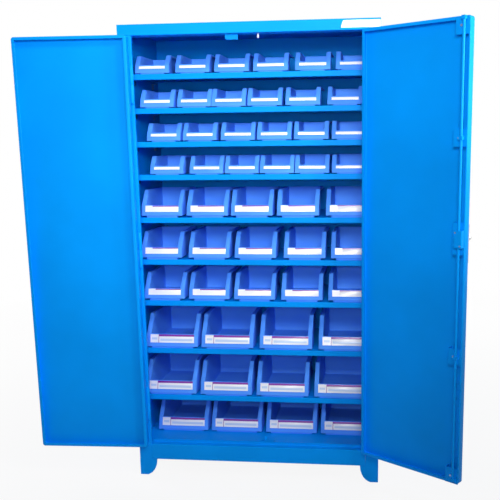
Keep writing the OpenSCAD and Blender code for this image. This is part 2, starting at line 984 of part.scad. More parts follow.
// outline of a bin's outermost side in (y, z): the cheek, its rear corner and the edge under the flange
function cheek(path) =
    let (
        h = path[3].y,
        rear = path[2].x + cheek_back,
        middle = [rear + cheek_r, h - rim_drop - cheek_r]
    )
    [
        each path,
        path[3] - [0, rim_drop],
        for (a = [90 : 30 : 180]) middle + cheek_r * [cos(a), sin(a)],
        [rear, path[0].y],
    ];

module bin(w, d, h, lip, card, card_z, foot) {
    path = mouth(d, h, lip, foot);
    draft = 3;
    back_y = (h - foot) * tan(back_lean);
    floor_z = foot + bin_wall;
    lean_at = function (z) (z - foot) * tan(lip_lean);
    difference() {
        union() {
            // body, narrower at its foot
            intersection() {
                across(0, w) polygon([each path, [d - back_y, foot]]);
                along(-1, d + 1)
                    polygon([[rim_w + draft, foot], [w - rim_w - draft, foot], [w - rim_w, h], [rim_w, h]]);
            }
            // full-width lip
            across(0, w) polygon([path[0], path[1], path[1] + [rim_t, 0], [rim_t, foot]]);
            // flange along the mouth and the rim
            across(0, w) polygon(strip([path[1], path[2], path[3]], -rim_t));
            // cheeks and turned-down edges
            for (x = [0, w - bin_wall]) across(x, x + bin_wall) polygon(cheek(path));
            // foot
            block([rim_w + draft + bin_foot_in, bin_foot_in, 0],
                  [w - rim_w - draft - bin_foot_in, d - back_y - bin_foot_in, foot + touch]);
            // card rails
            for (z = [card_z - rail_h, card_z + card])
                across(w * 0.08, w * 0.92)
                    polygon([
                        [lean_at(z) + touch, z],
                        [lean_at(z) - rail_d, z],
                        [lean_at(z + rail_h) - rail_d, z + rail_h],
                        [lean_at(z + rail_h) + touch, z + rail_h],
                    ]);
        }
        // inside
        intersection() {
            across(0, w)
                polygon([
                    [lean_at(floor_z) + rim_t, floor_z],
                    [lean_at(lip) + rim_t, lip],
                    [lean_at(lip) - 1, lip + touch],
                    [lean_at(lip) - 1, h + 1],
                    [d - bin_wall, h + 1],
                    [d - bin_wall, h],
                    [d - back_y - bin_wall, floor_z],
                ]);
            along(-2, d + 2)
                polygon([
                    [rim_w + draft + bin_wall, floor_z],
                    [w - rim_w - draft - bin_wall, floor_z],
                    [w - rim_w - bin_wall, h],
                    [w - rim_w - bin_wall, h + 1],
                    [rim_w + bin_wall, h + 1],
                    [rim_w + bin_wall, h],
                ]);
        }
    }
}

function bin_w_of(row) = row < small_rows ? small_w : row < small_rows + medium_rows ? medium_w : large_w;
function sum_to(v, i) = i < 0 ? 0 : v[i] + sum_to(v, i - 1);
// left edge of a bin, from the gaps that a hand left between the bins
function bin_x(row, i) =
    let (w = bin_w_of(row), free = 2 * inner_half - len(gap_share[row]) * w)
    -inner_half + i * w + free * sum_to(gap_share[row], i) / 100;
function row_z(row) = row < shelf_count ? shelf_z(row) : skirt_z;
function row_y(row) = shelf_front + bin_setback + (row < shelf_count ? 0 : floor_setback);

module placed_bin(row, i) {
    color(bin_blue)
        translate([bin_x(row, i), row_y(row), row_z(row)])
            if (row < small_rows)
                bin(small_w, small_d, small_h, small_lip, small_card, small_card_z, small_foot);
            else if (row < small_rows + medium_rows)
                bin(medium_w, medium_d, medium_h, medium_lip, medium_card, medium_card_z, medium_foot);
            else bin(large_w, large_d, large_h, large_lip, large_card, large_card_z, large_foot);
}

module bin_row(row) {
    for (i = [0 : len(gap_share[row]) - 1]) placed_bin(row, i);
}

left_side();
right_side();
back_panel();
top_panel();
front_skirt();
floor_deck();
feet();
foot_bolts();
shelves();
shelf_clips();
post_knuckles();
hinge_pins();
door_stop_tab();
door_buffer();
floor_strike();
left_door_pan();
left_door_knuckles();
right_door_pan();
right_door_knuckles();
lock_base();
lock_cover();
lock_screws();
rod_guides();
handle_rose();
lever_handle();
lock_cam();
key_barrel();
upper_rod();
lower_rod();
bin_row(0);  // small_bins_row_1
bin_row(1);  // small_bins_row_2
bin_row(2);  // small_bins_row_3
bin_row(3);  // small_bins_row_4
placed_bin(4, 0);  // medium_bin_5_1
placed_bin(4, 1);  // medium_bin_5_2
placed_bin(4, 2);  // medium_bin_5_3
placed_bin(4, 3);  // medium_bin_5_4
placed_bin(4, 4);  // medium_bin_5_5
placed_bin(5, 0);  // medium_bin_6_1
placed_bin(5, 1);  // medium_bin_6_2
placed_bin(5, 2);  // medium_bin_6_3
placed_bin(5, 3);  // medium_bin_6_4
placed_bin(5, 4);  // medium_bin_6_5
placed_bin(6, 0);  // medium_bin_7_1
placed_bin(6, 1);  // medium_bin_7_2
placed_bin(6, 2);  // medium_bin_7_3
placed_bin(6, 3);  // medium_bin_7_4
placed_bin(6, 4);  // medium_bin_7_5
placed_bin(7, 0);  // large_bin_8_1
placed_bin(7, 1);  // large_bin_8_2
placed_bin(7, 2);  // large_bin_8_3
placed_bin(7, 3);  // large_bin_8_4
placed_bin(8, 0);  // large_bin_9_1
placed_bin(8, 1);  // large_bin_9_2
placed_bin(8, 2);  // large_bin_9_3
placed_bin(8, 3);  // large_bin_9_4
placed_bin(9, 0);  // large_bin_10_1
placed_bin(9, 1);  // large_bin_10_2
placed_bin(9, 2);  // large_bin_10_3
placed_bin(9, 3);  // large_bin_10_4
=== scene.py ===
"""Finishes a tall steel cabinet whose shelves carry open-front parts bins behind double doors."""

import json
import math

import bmesh
import bpy
import numpy as np
from mathutils import Matrix, Vector


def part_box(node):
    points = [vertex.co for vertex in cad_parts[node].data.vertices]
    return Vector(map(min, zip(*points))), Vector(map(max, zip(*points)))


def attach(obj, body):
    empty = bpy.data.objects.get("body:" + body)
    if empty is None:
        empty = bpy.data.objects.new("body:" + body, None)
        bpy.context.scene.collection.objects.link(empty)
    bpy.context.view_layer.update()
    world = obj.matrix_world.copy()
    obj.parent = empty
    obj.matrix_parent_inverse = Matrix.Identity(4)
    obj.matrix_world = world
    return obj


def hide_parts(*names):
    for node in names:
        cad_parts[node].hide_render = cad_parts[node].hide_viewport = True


bl_info = {
    "name": "Parts bin cabinet",
    "version": (1, 0, 0),
    "blender": (4, 5, 0),
    "location": "3D View > Sidebar > Cabinet",
    "description": "Finishes a steel parts cabinet: sheet steel, doors, lock, bins and cards",
    "category": "Object",
}

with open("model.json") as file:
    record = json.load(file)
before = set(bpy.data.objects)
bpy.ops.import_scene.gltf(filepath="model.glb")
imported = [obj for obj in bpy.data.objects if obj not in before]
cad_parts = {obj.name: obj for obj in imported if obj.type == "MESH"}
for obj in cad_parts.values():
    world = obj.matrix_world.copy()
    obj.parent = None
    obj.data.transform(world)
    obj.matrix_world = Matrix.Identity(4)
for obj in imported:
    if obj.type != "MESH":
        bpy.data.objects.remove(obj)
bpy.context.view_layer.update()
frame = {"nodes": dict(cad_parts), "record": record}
NODES = frame["nodes"]
BODY_OF = {n: b for b, members in frame["record"]["behaviour"]["bodies"].items() for n in members}
MM = 0.001
SKY = 0.08  # light of the sky on the cabinet; it shows as white
SHARP = math.radians(32)  # edges that turn more than this stay sharp
WELD = 2e-6


def linear(red, green, blue):
    """A colour given as 0 to 255 in sRGB, as Blender's linear colour with alpha."""
    shares = [v / 255 for v in (red, green, blue)]
    return tuple(v / 12.92 if v <= 0.04045 else ((v + 0.055) / 1.055) ** 2.4 for v in shares) + (1.0,)


# ---------------------------------------------------------------- shader arithmetic


class Term:
    """A shader value that Python arithmetic works on: each operation adds one Math node."""

    def __init__(self, finish, socket):
        self.finish = finish
        self.socket = socket

    def _math(self, operation, a, b):
        return self.finish.node("ShaderNodeMath", {"operation": operation}, {0: a, 1: b})[0]

    def __add__(self, other):
        return self._math("ADD", self, other)

    def __radd__(self, other):
        return self._math("ADD", other, self)

    def __sub__(self, other):
        return self._math("SUBTRACT", self, other)

    def __rsub__(self, other):
        return self._math("SUBTRACT", other, self)

    def __mul__(self, other):
        return self._math("MULTIPLY", self, other)

    def __rmul__(self, other):
        return self._math("MULTIPLY", other, self)

    def clamped(self, low=0.0, high=1.0):
        """The value held between two limits."""
        return self._math("MINIMUM", self._math("MAXIMUM", self, low), high)


class Graph:
    """A node tree under construction, of a material or of the world."""

    def __init__(self, owner):
        owner.use_nodes = True
        self.tree = owner.node_tree
        self.tree.nodes.clear()
        self.place = self.node("ShaderNodeTexCoord")["Object"]

    def node(self, kind, settings=None, values=None):
        """Adds any node: its settings first, then its sockets' values or links. Returns its outputs."""
        made = self.tree.nodes.new(kind)
        for name, value in (settings or {}).items():
            setattr(made, name, value)
        for socket, value in (values or {}).items():
            self.feed(made.inputs[socket], value)
        return Outputs(self, made)

    def feed(self, socket, value):
        """Links a Term to a socket, or sets the socket to a plain value."""
        if isinstance(value, Term):
            self.tree.links.new(value.socket, socket)
        else:
            socket.default_value = value

    def white_where_seen(self, plain, share):
        """A shader mixed by a share with white light of strength 1 on camera, mirror and glass rays."""
        ray = self.node("ShaderNodeLightPath")
        seen = (ray["Is Camera Ray"] + ray["Is Glossy Ray"] + ray["Is Transmission Ray"]).clamped()
        kind = "ShaderNodeBackground" if isinstance(self.tree.id_data, bpy.types.World) else "ShaderNodeEmission"
        white = self.node(kind, {}, {"Color": (1, 1, 1, 1), "Strength": 1.0})[0]
        return self.node("ShaderNodeMixShader", {}, {0: seen * share, 1: plain, 2: white})[0]


class Finish(Graph):
    """A material around one Principled shader."""

    def __init__(self, name, **constants):
        self.material = bpy.data.materials.new(name)
        super().__init__(self.material)
        made = self.node("ShaderNodeBsdfPrincipled")
        self.shader, self.surface = made.node, made[0]
        for socket, value in constants.items():
            self.shader.inputs[socket.replace("_", " ")].default_value = value
        self.output = self.node("ShaderNodeOutputMaterial", {}, {"Surface": self.surface}).node

    def set(self, name, value):
        """Feeds one of the shader's own sockets."""
        self.feed(self.shader.inputs[name], value)

    def noise(self, scale, detail=2.0, stretch=(1, 1, 1), roughness=0.5):
        """Noise between about 0.3 and 0.7, with a scale per metre and a stretch along each axis."""
        spot = self.place
        if stretch != (1, 1, 1):
            spot = self.node("ShaderNodeMapping", {}, {"Vector": spot, "Scale": stretch})[0]
        values = {"Vector": spot, "Scale": scale, "Detail": detail, "Roughness": roughness}
        return self.node("ShaderNodeTexNoise", {}, values)["Fac"]

    def mix(self, share, first, second):
        """A colour between two colours."""
        settings = {"data_type": "RGBA", "clamp_factor": True}
        return self.node("ShaderNodeMix", settings, {0: share, 6: first, 7: second})[2]

    def bump(self, height, strength, distance):
        """Feeds Normal with a bump whose height is a share of a distance in metres."""
        values = {"Height": height, "Strength": strength, "Distance": distance}
        self.set("Normal", self.node("ShaderNodeBump", {}, values)[0])


class Outputs:
    """A node's outputs as Terms, by number or name."""

    def __init__(self, finish, node):
        self.finish = finish
        self.node = node

    def __getitem__(self, key):
        return Term(self.finish, self.node.outputs[key])


# ---------------------------------------------------------------- meshes


class Shape:
    """Collects grids of points, in millimetres, and hands them to Blender as one mesh in metres.

    Faces are arrays of point numbers, one row to a face and one array to a grid or cap.
    """

    def __init__(self):
        self.points, self.faces, self.slots, self.count = [], [], [], 0

    def grid(self, points, wrap_rows=False, wrap_columns=False, slot=0, flip=False):
        """Quads between the rows and columns of an array of points; either way may close on itself."""
        rows, columns = points.shape[:2]
        index = np.arange(rows * columns).reshape(rows, columns) + self.count
        if wrap_rows:
            index = np.vstack([index, index[:1]])
        if wrap_columns:
            index = np.hstack([index, index[:, :1]])
        quads = np.stack([index[:-1, :-1], index[:-1, 1:], index[1:, 1:], index[1:, :-1]], -1).reshape(-1, 4)
        if flip:
            quads = quads[:, ::-1]
        self._take(points.reshape(-1, 3), quads, slot)

    def cap(self, ring, slot=0, flip=False):
        """One flat face over a ring of points."""
        order = np.arange(len(ring)) + self.count
        self._take(np.asarray(ring, float), (order[::-1] if flip else order)[None], slot)

    def _take(self, points, faces, slot):
        self.points.append(points)
        self.faces.append(faces)
        self.slots.append(np.full(len(faces), slot, np.int32))
        self.count += len(points)

    def tube(self, rings, slot=0, flip=False):
        """A closed solid through rings of points, with a flat cap at each end."""
        self.grid(rings, wrap_columns=True, slot=slot, flip=flip)
        self.cap(rings[0], slot, not flip)
        self.cap(rings[-1], slot, flip)
        return self

    def add(self, other, offset=(0, 0, 0)):
        """Takes another shape's grids, moved by an offset."""
        self.points.extend(points + np.asarray(offset, float) for points in other.points)
        self.faces.extend(faces + self.count for faces in other.faces)
        self.slots.extend(other.slots)
        self.count += other.count

    def build(self, name, materials, body, slot_name, replaced=(), place=None):
        """Makes the object, welds its seams, turns its faces outwards and lets it ride on its body."""
        points = np.vstack(self.points) * MM
        if place is not None:
            points = points @ np.array(place.to_3x3()).T + np.array(place.translation)
        mesh = bpy.data.meshes.new(name)
        mesh.from_pydata(points, [], [face for faces in self.faces for face in faces.tolist()])
        mesh.polygons.foreach_set("material_index", np.concatenate(self.slots))
        obj = bpy.data.objects.new(name, mesh)
        bpy.context.scene.collection.objects.link(obj)
        tidy(mesh)
        for material in materials:
            mesh.materials.append(material)
        mesh.shade_smooth()
        mesh.set_sharp_from_angle(angle=SHARP)
        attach(obj, body)
        if replaced:
            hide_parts(*replaced)
        return obj


def tidy(mesh):
    """Merges points that coincide, drops faces without area and turns all faces outwards."""
    work = bmesh.new()
    work.from_mesh(mesh)
    bmesh.ops.remove_doubles(work, verts=work.verts, dist=WELD)
    bmesh.ops.dissolve_degenerate(work, edges=work.edges, dist=WELD / 2)
    bmesh.ops.recalc_face_normals(work, faces=work.faces)
    work.to_mesh(mesh)
    work.free()


def arc(centre, radius, start, end, steps):
    """Points on a circle's arc between two angles in degrees: centre + radius (cos a, sin a)."""
    angle = np.radians(np.linspace(start, end, steps))
    return np.stack([centre[0] + radius * np.cos(angle), centre[1] + radius * np.sin(angle)], -1)


def rounded_ring(x0, x1, y0, y1, radius, steps=5):
    """A rounded rectangle, anticlockwise from its lower right corner's arc: four arcs of one radius."""
    corners = [(x1 - radius, y0 + radius, -90), (x1 - radius, y1 - radius, 0),
               (x0 + radius, y1 - radius, 90), (x0 + radius, y0 + radius, 180)]
    return np.vstack([arc((x, y), radius, a, a + 90, steps) for x, y, a in corners])


# ---------------------------------------------------------------- finishes


def powder_coat(name, colour):
    """Azure powder coat on sheet steel: an orange-peel surface with faint cloudiness."""
    f = Finish(name, Specular_IOR_Level=0.22, Specular_Tint=(0.25, 0.7, 1.0, 1.0))
    cloud = f.noise(3.0, 3.0)
    wipe = f.noise(14.0, 4.0, (1, 1, 0.25))
    deep = tuple(c * 0.86 for c in colour[:3]) + (1.0,)
    f.set("Base Color", f.mix((cloud - 0.35) * 2.2, deep, colour))
    f.set("Roughness", 0.42 + wipe * 0.16)
    peel = f.noise(620.0, 1.5)
    f.bump(peel, 0.12, 0.0004)
    return f.material


def moulded_plastic(name, colour):
    """Polypropylene of the bins: fine spark-eroded grain, and lighter where it is polished by hands."""
    f = Finish(name, Roughness=0.42, Specular_IOR_Level=0.3, Specular_Tint=(0.3, 0.55, 1.0, 1.0))
    flow = f.noise(9.0, 2.0, (1, 1, 2.5))
    pale = tuple(min(1.0, c * 1.12 + 0.01) for c in colour[:3]) + (1.0,)
    f.set("Base Color", f.mix((flow - 0.35) * 2.0, colour, pale))
    f.set("Roughness", 0.36 + f.noise(40.0, 3.0) * 0.18)
    f.bump(f.noise(1500.0, 1.0), 0.1, 0.0002)
    return f.material


def plated_steel(name, colour, roughness, scratch):
    """Plated steel: metallic, with drawn or wiped lines along Z."""
    f = Finish(name, Metallic=1.0)
    lines = f.noise(400.0, 3.0, (1, 1, 0.02))
    spots = f.noise(60.0, 3.0)
    dull = tuple(c * 0.8 for c in colour[:3]) + (1.0,)
    f.set("Base Color", f.mix((spots - 0.35) * 2.0, dull, colour))
    f.set("Roughness", roughness + (lines - 0.5) * scratch)
    f.bump(lines, 0.08, 0.0002)
    return f.material


def printed_card(name, colour):
    """Card under a clear strip: even colour with a faint paper mottle."""
    f = Finish(name, Roughness=0.3, Coat_Weight=0.25, Coat_Roughness=0.15)
    mottle = f.noise(900.0, 2.0)
    shade = tuple(c * 0.94 for c in colour[:3]) + (1.0,)
    f.set("Base Color", f.mix((mottle - 0.35) * 2.0, shade, colour))
    return f.material


def nylon(name, colour):
    """White nylon of the buffer."""
    f = Finish(name, Roughness=0.45)
    f.set("Base Color", f.mix(f.noise(120.0) * 0.6, colour, tuple(c * 0.9 for c in colour[:3]) + (1.0,)))
    f.bump(f.noise(900.0), 0.08, 0.0002)
    return f.material


# ---------------------------------------------------------------- settings


class CabinetColours(bpy.types.PropertyGroup):
    """Colours of the cabinet's finishes."""

    steel: bpy.props.FloatVectorProperty(
        name="Steel", description="Powder coat of the cabinet and doors", subtype="COLOR",
        size=4, min=0, max=1, default=linear(0, 156, 254))
    bins: bpy.props.FloatVectorProperty(
        name="Bins", description="Plastic of the parts bins", subtype="COLOR",
        size=4, min=0, max=1, default=linear(76, 148, 255))
    zinc: bpy.props.FloatVectorProperty(
        name="Zinc", description="Plating of rods, pins and screws", subtype="COLOR",
        size=4, min=0, max=1, default=linear(122, 144, 184))
    chrome: bpy.props.FloatVectorProperty(
        name="Chrome", description="Plating of the handle", subtype="COLOR",
        size=4, min=0, max=1, default=linear(222, 224, 228))
    card: bpy.props.FloatVectorProperty(
        name="Card", description="Card on the bins", subtype="COLOR",
        size=4, min=0, max=1, default=linear(244, 246, 252))
    tint: bpy.props.FloatVectorProperty(
        name="Tinted card", description="Tinted panel of a card", subtype="COLOR",
        size=4, min=0, max=1, default=linear(196, 218, 248))
    edge: bpy.props.FloatVectorProperty(
        name="Card edge", description="Coloured line on a card", subtype="COLOR",
        size=4, min=0, max=1, default=linear(128, 14, 158))


class BinShape(bpy.types.PropertyGroup):
    """Sizes of the moulded bins that the solids leave plain."""

    wall: bpy.props.FloatProperty(
        name="Wall", description="Wall of a bin", subtype="DISTANCE",
        default=0.0024, min=0.0015, max=0.004)
    plate: bpy.props.FloatProperty(
        name="Lip plate", description="Thickness of the lip and wings", subtype="DISTANCE",
        default=0.003, min=0.002, max=0.005)
    wing: bpy.props.FloatProperty(
        name="Wing", description="Width of the wings beside the mouth", subtype="DISTANCE",
        default=0.015, min=0.005, max=0.02)
    draft: bpy.props.FloatProperty(
        name="Draft", description="Narrowing of the bin towards its foot", subtype="DISTANCE",
        default=0.003, min=0, max=0.008)
    cheek: bpy.props.FloatProperty(
        name="Cheek", description="Length of the cheeks behind the mouth", subtype="DISTANCE",
        default=0.012, min=0.005, max=0.025)
    drop: bpy.props.FloatProperty(
        name="Drop", description="Height of the edge under the flange", subtype="DISTANCE",
        default=0.007, min=0.004, max=0.01)
    lip_lean: bpy.props.FloatProperty(
        name="Lip lean", description="Lean of the lip", subtype="ANGLE",
        default=math.radians(14), min=0, max=math.radians(30))
    mouth_lean: bpy.props.FloatProperty(
        name="Mouth lean", description="Lean of the wings", subtype="ANGLE",
        default=math.radians(40), min=math.radians(20), max=math.radians(60))
    back_lean: bpy.props.FloatProperty(
        name="Back lean", description="Lean of the back wall", subtype="ANGLE",
        default=math.radians(4), min=0, max=math.radians(12))


# lip height, card bottom, card height and foot height of each size of bin, in millimetres
LIPS = {"small": (36.0, 21.0, 10.5, 4.0), "medium": (49.0, 23.0, 25.0, 8.0), "large": (58.0, 22.0, 34.0, 6.0)}


def bin_shape(width, depth, height, lip, foot, rails_at, shape):
    """One bin, its lip's foot at y = 0 and its middle at x = 0, standing on z = 0.

    The tub is a ruled surface: a rounded rectangle at the foot, another at each height z, whose sides run
    outwards with the draft and whose front and back lean. It ends at the mouth, z = lip + (y - lip_y) / tan(lean).
    """
    lean, slant, rake = (math.tan(a) for a in (shape.lip_lean, shape.mouth_lean, shape.back_lean))
    wall, plate, wing, draft, cheek, drop = (
        getattr(shape, size) / MM for size in ("wall", "plate", "wing", "draft", "cheek", "drop"))
    half = width / 2
    lip_y = (lip - foot) * lean
    made = Shape()

    def half_at(z):
        """Half the tub's width at height z: the mouth's, less the draft's share."""
        return half - wing - draft * (height - z) / (height - foot)

    def section(z, inset, radius, forward):
        """Ring of the rounded rectangle at heights z, one height for each of its points."""
        a = half_at(z) - inset
        y0 = (z - foot) * lean + forward + inset
        y1 = depth - (height - z) * rake - inset
        turn = np.radians(RING_ANGLE)
        x = RING_SIDE_X * (a - radius) + radius * np.cos(turn)
        middle, reach = (y0 + y1) / 2, (y1 - y0) / 2 - radius
        y = middle + RING_SIDE_Y * reach + radius * np.sin(turn)
        return np.stack([x, y, np.broadcast_to(z, x.shape)], -1)

    def level(z):
        """One height for every point of a ring."""
        return np.full(RING_ANGLE.shape, z)

    def mouth_height(inset, radius, forward):
        """Height at which each wall point meets the mouth, found by repeated substitution."""
        z = level(lip)
        for _ in range(24):
            y = section(z, inset, radius, forward)[:, 1]
            z = np.clip(lip + (y - inset - lip_y - 1.0) / slant, lip, height)
        return z

    corner, inner_corner = 5.0, 3.5  # radius of the tub's upright corners, outside and inside
    outside, inside = 0.4, plate - wall  # how far the tub's faces stand behind the lip's foot
    chamfer, hollow, floor = 1.6, 3.0, foot + wall  # bevel round the foot, round inside the floor, floor's height
    top_out = mouth_height(0.0, corner, outside)
    top_in = mouth_height(wall, inner_corner, inside)
    rows = [section(level(foot), 8.0, 4.0, outside), section(level(foot), chamfer, 4.0, outside),
            section(level(foot + chamfer), 0.0, corner, outside)]
    rows += [section(foot + chamfer + (top_out - 1.0 - foot - chamfer) * t, 0.0, corner, outside)
             for t in np.linspace(0, 1, 7)[1:]]
    rows += [section(top_out - 0.2, 0.5, 4.6, outside), section(top_in - 0.2, wall - 0.5, 3.8, inside)]
    rows += [section(floor + hollow + (top_in - 1.0 - floor - hollow) * t, wall, inner_corner, inside)
             for t in np.linspace(1, 0, 7)]
    for angle in (30, 60, 90):
        s, c = math.sin(math.radians(angle)), math.cos(math.radians(angle))
        rows += [section(level(floor + hollow * (1 - s)), wall + hollow * (1 - c), 4.5, inside)]
    rings = np.array(rows)
    made.grid(rings, wrap_columns=True)
    made.cap(rings[0], flip=True)
    made.cap(rings[-1])

    # lip plate: a slab across the whole width with rounded edges, leaning with the lip
    z = np.concatenate([[foot], foot + 0.5 + (lip - foot - 1.5) * np.linspace(0, 1, 5), [lip]])
    inset = np.array([0.5, 0, 0, 0, 0, 0, 0.6])
    across = np.concatenate([arc((-half + 1.2, 1.2), 1.2, 180, 270, 4), arc((half - 1.2, 1.2), 1.2, 270, 360, 4),
                             [[half, plate], [-half, plate]]])
    slab = np.empty((len(z), len(across), 3))
    slab[..., 0] = across[None, :, 0] * (1 - inset[:, None] / half)
    slab[..., 1] = np.clip(across[None, :, 1], inset[:, None], plate - inset[:, None]) + (z[:, None] - foot) * lean
    slab[..., 2] = z[:, None]
    made.tube(slab)

    # card rails: a rounded rib under the card and another over it
    for z0 in rails_at:
        rib = np.array([[half_at(z0) - 0.5, 0.0], [half_at(z0) - 0.5, 1.4], [half_at(z0) - 0.9, 1.9],
                        [0.9 - half_at(z0), 1.9], [0.5 - half_at(z0), 1.4], [0.5 - half_at(z0), 0.0]])
        made.tube(np.array([np.column_stack([rib[:, 0] * share, (z0 + rib[:, 1] - foot) * lean - out, z0 + rib[:, 1]])
                            for share, out in ((1.0, -0.4), (1.0, 0.8), (0.995, 1.1))]))

    # wings: level slices of the slanting plate beside the mouth and of the cheek that closes its side. The mouth's
    # line bends into the level rim by an arc; the cheek's rear edge bends into the turned-down edge by another.
    bend, fillet = 7.0, 8.0
    tilt = shape.mouth_lean
    corner_y = lip_y + (height - lip) * slant
    run = bend * math.tan((math.pi / 2 - tilt) / 2)
    start_z = height - run * math.cos(tilt)
    rear = corner_y + cheek

    def front_y(z):
        """The wing's front: the lip's lean, then the mouth's, then the arc of the bend."""
        if z < lip:
            return (z - foot) * lean
        if z < start_z:
            return lip_y + (z - lip) * slant
        return corner_y + run - math.sqrt(max(bend ** 2 - (z - height + bend) ** 2, 0.0))

    def rear_y(z):
        """The cheek's rear edge: upright, then the arc into the turned-down edge."""
        up = min(max(z - (height - drop - fillet), 0.0), fillet)
        return rear + fillet - math.sqrt(fillet ** 2 - up ** 2)

    curve = height - bend + bend * np.sin(np.radians(np.linspace(0, 88, 7)))
    levels = np.unique(np.concatenate([[foot, (foot + lip) / 2, lip, (lip + start_z) / 2, start_z, height],
                                       curve[curve > start_z],
                                       height - drop - fillet + fillet * np.linspace(0, 1, 5)]))
    for side in (-1, 1):
        slices = []
        for z0 in levels:
            y = front_y(z0) + (0.25 if z0 < lip else 0.0)
            inner, outer = half_at(z0) - 1.0, half - 0.12
            back = max(rear_y(z0), y + 0.02)
            deep = min(y + plate, back - 0.01)
            soft = min(1.5, back - y)
            rim = np.vstack([[[inner, y]], arc((outer - 1.5, y + soft), soft, -90, 0, 4),
                             [[outer, back], [outer - wall, back], [outer - wall, deep], [inner, deep]]])
            slices.append(np.column_stack([side * rim[:, 0], rim[:, 1], np.full(len(rim), z0)]))
        made.tube(np.array(slices), flip=side < 0)
        # flange along the level rim, with its turned-down edge
        inner = half - wing - 1.0
        edge = height - drop
        profile = np.vstack([[[inner, height]], arc((half - 1.7, height - 1.5), 1.5, 90, 0, 4),
                             [[half - 0.2, edge], [half - 0.2 - wall, edge],
                              [half - 0.2 - wall, height - plate], [inner, height - plate]]])
        ends = np.array([corner_y + run, depth - 1.0, depth])
        rails = np.empty((3, len(profile), 3))
        rails[..., 0] = side * profile[None, :, 0]
        rails[..., 1] = ends[:, None]
        rails[..., 2] = profile[None, :, 1]
        made.tube(rails, flip=side > 0)

    # foot: a low rounded block
    a = half_at(foot) - 2.0
    ring = rounded_ring(-a, a, 3.0, depth - (height - foot) * rake - 3.0, 5.0)
    block = np.array([np.column_stack([ring * 0.998 + [0, 0.1], np.full(len(ring), 0.0)]),
                      np.column_stack([ring, np.full(len(ring), 0.6)]),
                      np.column_stack([ring, np.full(len(ring), foot + 0.3)])])
    made.tube(block)
    return made


def ring_parameters(steps=5, side_points=9):
    """Angle and side signs of the points round a tub: four corner arcs, and points along both sides."""
    angles, xs, ys = [], [], []
    for turn, sx, sy in ((-90, 1, -1), (0, 1, 1), (90, -1, 1), (180, -1, -1)):
        for a in np.linspace(turn, turn + 90, steps):
            angles.append(a), xs.append(sx), ys.append(sy)
        if turn in (-90, 90):
            for t in np.linspace(-1, 1, side_points + 2)[1:-1]:
                angles.append(turn + 90), xs.append(sx), ys.append(t * -sy)
    return np.array(angles, float), np.array(xs, float), np.array(ys, float)


RING_ANGLE, RING_SIDE_X, RING_SIDE_Y = ring_parameters()


def card_shape(width, card_z, card_h, foot, shape, kind):
    """A card on the leaning lip: thin slabs side by side, in slots plain, tint and edge."""
    lean = math.tan(shape.lip_lean)
    right = width / 2 - shape.wing / MM - 1.0
    left = -right
    made = Shape()

    def patch(x0, x1, z0, z1, slot, lift=0.55):
        """One slab that stands out of the lip by its lift and goes 0.4 mm into it."""
        ring = rounded_ring(x0, x1, z0, z1, min(0.5, (z1 - z0) / 3), 3)
        layers = []
        for out, shrink in ((-0.4, 0.0), (lift - 0.15, 0.0), (lift, 0.15)):
            middle = ring.mean(0)
            r = middle + (ring - middle) * (1 - shrink / (z1 - z0))
            layers.append(np.column_stack([r[:, 0], (r[:, 1] - foot) * lean - out, r[:, 1]]))
        made.tube(np.array(layers), slot=slot)

    z0, z1 = card_z, card_z + card_h
    if kind == "small":
        patch(left, right, z0, z1, 0)
        return made
    block, line = (left + 36.0, 8.5) if kind == "large" else (left + 30.0, 4.2)
    patch(left, block, z0, z1, 0)
    patch(block, right, z0, z1 - line, 0)
    patch(block, right, z1 - line, z1, 2)
    if kind == "large":
        patch(block - 1.0, block + 1.0, z0, z1, 2, 0.65)
        patch(left + 6, block - 6, z0 + 12, z1 - 13, 1, 0.6)
        patch(block + 6, right - 6, z0 + 7, z1 - line - 9, 1, 0.6)
    return made


def bin_places(node):
    """Left edge and width of each bin of a node in millimetres: the spans of x that its edges cover unbroken."""
    mesh = NODES[node].data
    spots, ends = np.empty(3 * len(mesh.vertices)), np.empty(2 * len(mesh.edges), np.int32)
    mesh.vertices.foreach_get("co", spots)
    mesh.edges.foreach_get("vertices", ends)
    low, high = np.sort((spots[::3] / MM)[ends.reshape(-1, 2)], axis=1).T
    order = np.argsort(low, kind="stable")
    low, reach = low[order], np.maximum.accumulate(high[order])
    first = np.append(True, low[1:] > reach[:-1] + 0.05)
    last = np.append(first[1:], True)
    return list(zip(low[first], reach[last] - low[first]))


# ---------------------------------------------------------------- doors, hinges and lock

JOINTS = {joint["name"]: joint for joint in frame["record"]["behaviour"]["joints"]}
AXIS = tuple(v / MM for v in JOINTS["right_door_hinge"]["pos_m"][:2])
LEFT_OPEN, RIGHT_OPEN = (-JOINTS[name]["range_deg"][0] for name in ("left_door_hinge", "right_door_hinge"))
FRONT = -250.0
LOCK = (19.5, JOINTS["handle_turn"]["pos_m"][2] / MM)
DOOR = {"x0": 1.5, "x1": 445.0, "z0": 139.0, "z1": 1777.0}
HINGE_Z = (DOOR["z1"] - 180.0, (DOOR["z0"] + DOOR["z1"]) / 2, DOOR["z0"] + 180.0)
BARREL, BARREL_GAP, LEAF = 70.0, 0.4, 25.0  # length of half a hinge, the gap between halves, reach of a leaf


def right_place(degrees):
    """Swings what is drawn on the closed right-hand door about its hinge axis."""
    pivot = Vector((AXIS[0] * MM, AXIS[1] * MM, 0))
    return Matrix.Translation(pivot) @ Matrix.Rotation(math.radians(degrees), 4, "Z") @ Matrix.Translation(-pivot)


def left_place():
    """The mirror image of the right-hand door, swung by the left door's own angle."""
    return Matrix.Scale(-1, 4, (1, 0, 0)) @ right_place(LEFT_OPEN)


